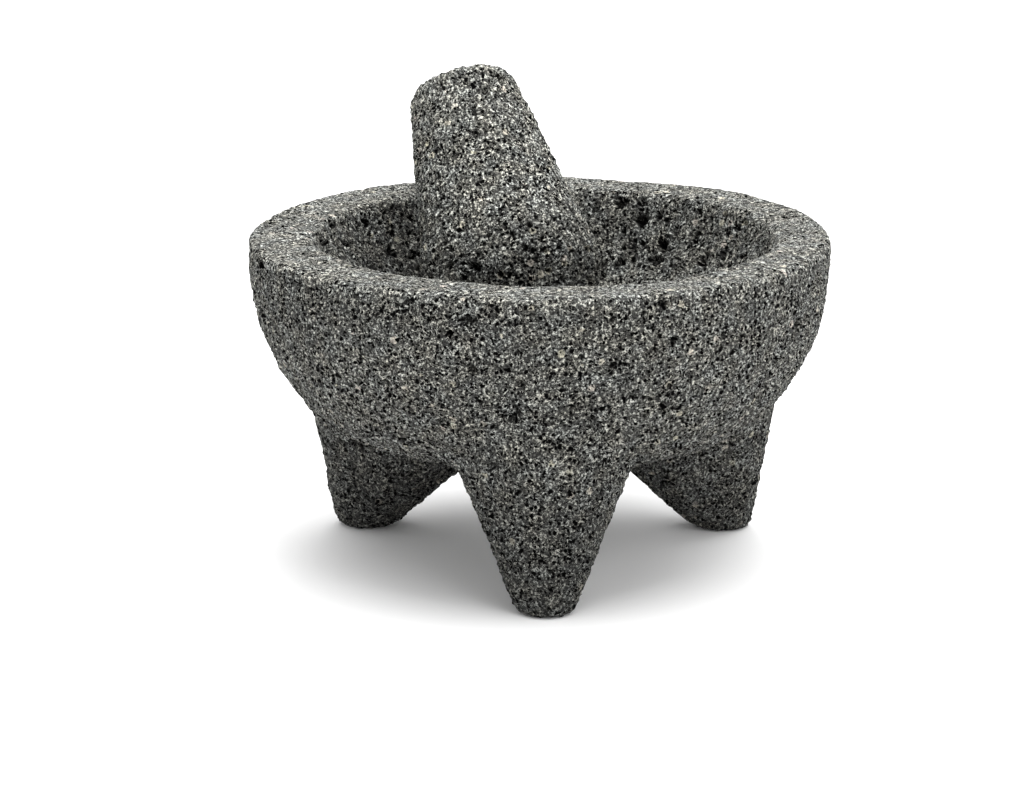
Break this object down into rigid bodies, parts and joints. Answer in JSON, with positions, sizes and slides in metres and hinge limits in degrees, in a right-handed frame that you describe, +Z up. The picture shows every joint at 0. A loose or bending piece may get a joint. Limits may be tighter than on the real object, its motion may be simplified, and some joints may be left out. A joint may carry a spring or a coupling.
{
  "type": "mortar and pestle",
  "caption": "Round stone mortar with a thick rim on short tapered legs, and a blunt tapered stone pestle leaning in its bowl; the pestle lifts out.",
  "frame": {"origin": "on the floor, under the middle of the mortar's rim", "axes": "+Z up, -Y towards the front leg, +X to the right seen from the front"},
  "size_m": [0.204, 0.204, 0.1685],
  "materials": {
    "basalt": "rough, open-pored, unpolished"
  },
  "bodies": {
    "mortar": {"mortar": "basalt"},
    "pestle": {"pestle": "basalt"}
  },
  "joints": [
    {"name": "pestle_lift", "type": "slide", "parent": "mortar", "child": "pestle", "axis": [0, 0, 1], "range_m": [0, 0.08]}
  ]
}
